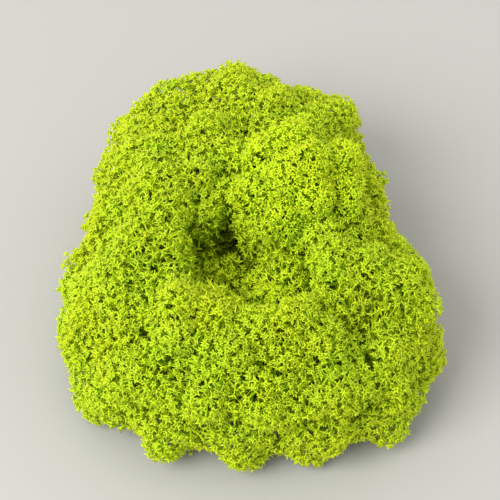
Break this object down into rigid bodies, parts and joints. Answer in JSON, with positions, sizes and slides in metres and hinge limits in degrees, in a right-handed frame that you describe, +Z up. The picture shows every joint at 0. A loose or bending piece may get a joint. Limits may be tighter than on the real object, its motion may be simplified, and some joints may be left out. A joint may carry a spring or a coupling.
{
  "type": "reindeer moss clump",
  "caption": "Domed cushion of entangled, many-branched lichen stalks with rounded, lacy, lime-green crowns; it rests on the flat cut ends of the stalks.",
  "frame": {"origin": "middle of the clump's footprint, on the plane of the cut stalk ends that it rests on", "axes": "+Z up out of the crowns, +X to the right and +Y to the back as the picture sees the clump"},
  "size_m": [0.0884, 0.1014, 0.0484],
  "materials": {
    "top_crowns": "matte",
    "side_crowns": "matte",
    "rim_crowns": "matte",
    "shaded_crowns": "matte"
  },
  "bodies": {
    "root": {"podetium_hollow_01": "shaded_crowns", "podetium_hollow_02": "shaded_crowns", "podetium_rim_01": "rim_crowns", "podetium_rim_02": "rim_crowns", "podetium_rim_03": "rim_crowns", "podetium_rim_04": "rim_crowns", "podetium_rim_05": "rim_crowns", "podetium_rim_06": "rim_crowns", "podetium_rim_07": "rim_crowns", "podetium_rim_08": "rim_crowns", "podetium_rim_09": "rim_crowns", "podetium_rim_10": "rim_crowns", "podetium_rim_11": "rim_crowns", "podetium_rim_12": "rim_crowns", "podetium_rim_13": "rim_crowns", "podetium_rim_14": "rim_crowns", "podetium_rim_15": "rim_crowns", "podetium_rim_16": "rim_crowns", "podetium_rim_17": "rim_crowns", "podetium_shoulder_01": "side_crowns", "podetium_shoulder_02": "side_crowns", "podetium_shoulder_03": "side_crowns", "podetium_shoulder_04": "side_crowns", "podetium_shoulder_05": "side_crowns", "podetium_shoulder_06": "side_crowns", "podetium_shoulder_07": "side_crowns", "podetium_shoulder_08": "side_crowns", "podetium_shoulder_09": "side_crowns", "podetium_shoulder_10": "side_crowns", "podetium_shoulder_11": "side_crowns", "podetium_shoulder_12": "side_crowns", "podetium_shoulder_13": "side_crowns", "podetium_shoulder_14": "side_crowns", "podetium_shoulder_15": "side_crowns", "podetium_shoulder_16": "side_crowns", "podetium_shoulder_17": "side_crowns", "podetium_shoulder_18": "side_crowns", "podetium_shoulder_19": "side_crowns", "podetium_top_01": "top_crowns", "podetium_top_02": "top_crowns", "podetium_top_03": "top_crowns", "podetium_top_04": "top_crowns", "podetium_top_05": "top_crowns", "podetium_top_06": "top_crowns", "podetium_top_07": "top_crowns", "podetium_top_08": "top_crowns", "podetium_top_09": "top_crowns", "podetium_top_10": "top_crowns", "podetium_top_11": "top_crowns"}
  },
  "joints": []
}
